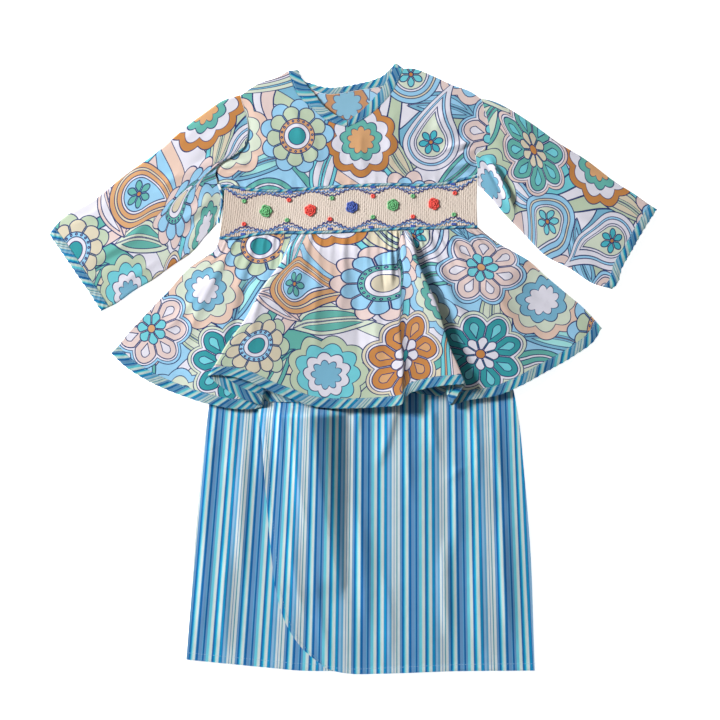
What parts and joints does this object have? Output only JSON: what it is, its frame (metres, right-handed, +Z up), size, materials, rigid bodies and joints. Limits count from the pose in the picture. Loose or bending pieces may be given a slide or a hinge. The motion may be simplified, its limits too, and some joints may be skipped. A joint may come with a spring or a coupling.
{
  "type": "baju kurung",
  "caption": "Small child's baju kurung laid flat: long-sleeved peplum top with a V neck and a smocked midriff over a striped wrap skirt.",
  "frame": {"origin": "centre of the set's plan box, on the floor that it lies on", "axes": "+Y towards the neck, +X to the right as seen from above, +Z up out of the cloth"},
  "size_m": [0.608, 0.6121, 0.0202],
  "materials": {
    "print_cotton": "matte printed cotton",
    "skirt_stripe": "matte striped cotton",
    "bias_stripe": "matte striped cotton, cut on the bias",
    "smocking": "matte cream cotton, pleated",
    "thread_green": "stranded cotton",
    "thread_red": "stranded cotton",
    "thread_blue": "stranded cotton"
  },
  "bodies": {
    "root": {"skirt_back": "skirt_stripe", "skirt_underlap": "skirt_stripe", "skirt_wrap": "skirt_stripe", "skirt_waistband": "skirt_stripe", "bodice_back": "print_cotton", "bodice_front": "print_cotton", "smocked_band": "smocking", "neck_binding_left": "bias_stripe", "neck_binding_right": "bias_stripe", "neck_binding_back": "bias_stripe", "sleeve_left": "print_cotton", "sleeve_right": "print_cotton", "cuff_binding_left": "bias_stripe", "cuff_binding_right": "bias_stripe", "peplum_back": "print_cotton", "peplum_front": "print_cotton", "hem_binding_back": "bias_stripe", "hem_binding_front": "bias_stripe", "piping_top": "bias_stripe", "piping_waist": "bias_stripe", "piping_side": "bias_stripe", "smock_rose_1": "thread_green", "smock_rose_2": "thread_red", "smock_rose_3": "thread_blue", "smock_rose_4": "thread_green", "smock_rose_5": "thread_red"}
  },
  "joints": []
}
